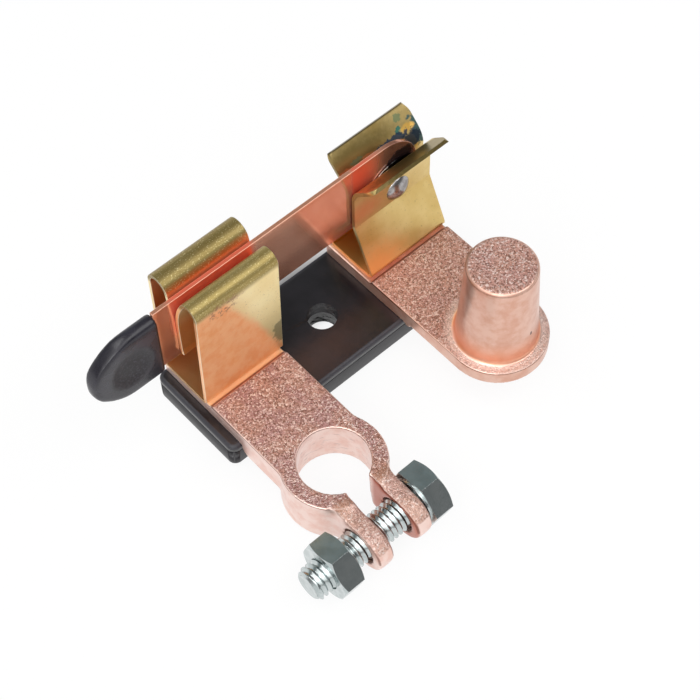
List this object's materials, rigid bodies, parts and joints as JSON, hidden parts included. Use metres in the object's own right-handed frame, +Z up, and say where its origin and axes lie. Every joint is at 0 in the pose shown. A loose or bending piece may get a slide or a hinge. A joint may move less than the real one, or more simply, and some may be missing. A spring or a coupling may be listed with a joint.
{
  "type": "battery disconnect switch",
  "caption": "Knife-blade disconnect switch for a top-post battery, with a split post clamp on one arm, a tapered post on the other and spring clips on an insulating base.",
  "frame": {"origin": "centre of the screw hole in the base, on the base's underside", "axes": "+X from the handle to the blade's hinge, +Y away from the terminal arms towards the clips, +Z up from the base to the blade"},
  "size_m": [0.0968, 0.0689, 0.0486],
  "materials": {
    "base_plastic": "black moulded phenolic, soft gloss",
    "copper_casting": "copper-plated casting with a granular skin",
    "jaw_brass": "bright yellow sheet brass",
    "hinge_brass": "bright sheet brass, stained green and blue at one lip",
    "blade_copper": "polished copper",
    "grip_vinyl": "dipped vinyl, soft gloss",
    "rivet_steel": "bright",
    "washer_steel": "satin",
    "zinc_steel": "bright zinc plate"
  },
  "bodies": {
    "base": {"base_plate": "base_plastic", "clamp_arm": "copper_casting", "post_arm": "copper_casting", "jaw_clip": "jaw_brass", "hinge_clip": "hinge_brass", "hinge_rivet": "rivet_steel", "spring_washer": "washer_steel", "jaw_rivet": "rivet_steel", "jaw_rivet_washer": "washer_steel", "hinge_clip_rivet": "rivet_steel", "hinge_clip_rivet_washer": "washer_steel"},
    "blade": {"knife_blade": "blade_copper", "handle_grip": "grip_vinyl"},
    "bolt": {"clamp_bolt": "zinc_steel"},
    "nut": {"clamp_nut": "zinc_steel"}
  },
  "joints": [
    {"name": "blade_swing", "type": "hinge", "parent": "base", "child": "blade", "pos_m": [0.0267, 0.00534, 0.0285], "axis": [0, 1, 0], "range_deg": [0, 180]},
    {"name": "bolt_turn", "type": "hinge", "parent": "base", "child": "bolt", "pos_m": [-0.0247, -0.04815, 0.0054], "axis": [-1, 0, 0], "range_deg": [-1295, 1123]},
    {"name": "nut_travel", "type": "slide", "parent": "base", "child": "nut", "axis": [1, 0, 0], "range_m": [-0.0045, 0.0039]}
  ],
  "couplings": [
    {"joint": "nut_travel", "follows": "bolt_turn", "m_per_rad": 0.00019894}
  ]
}
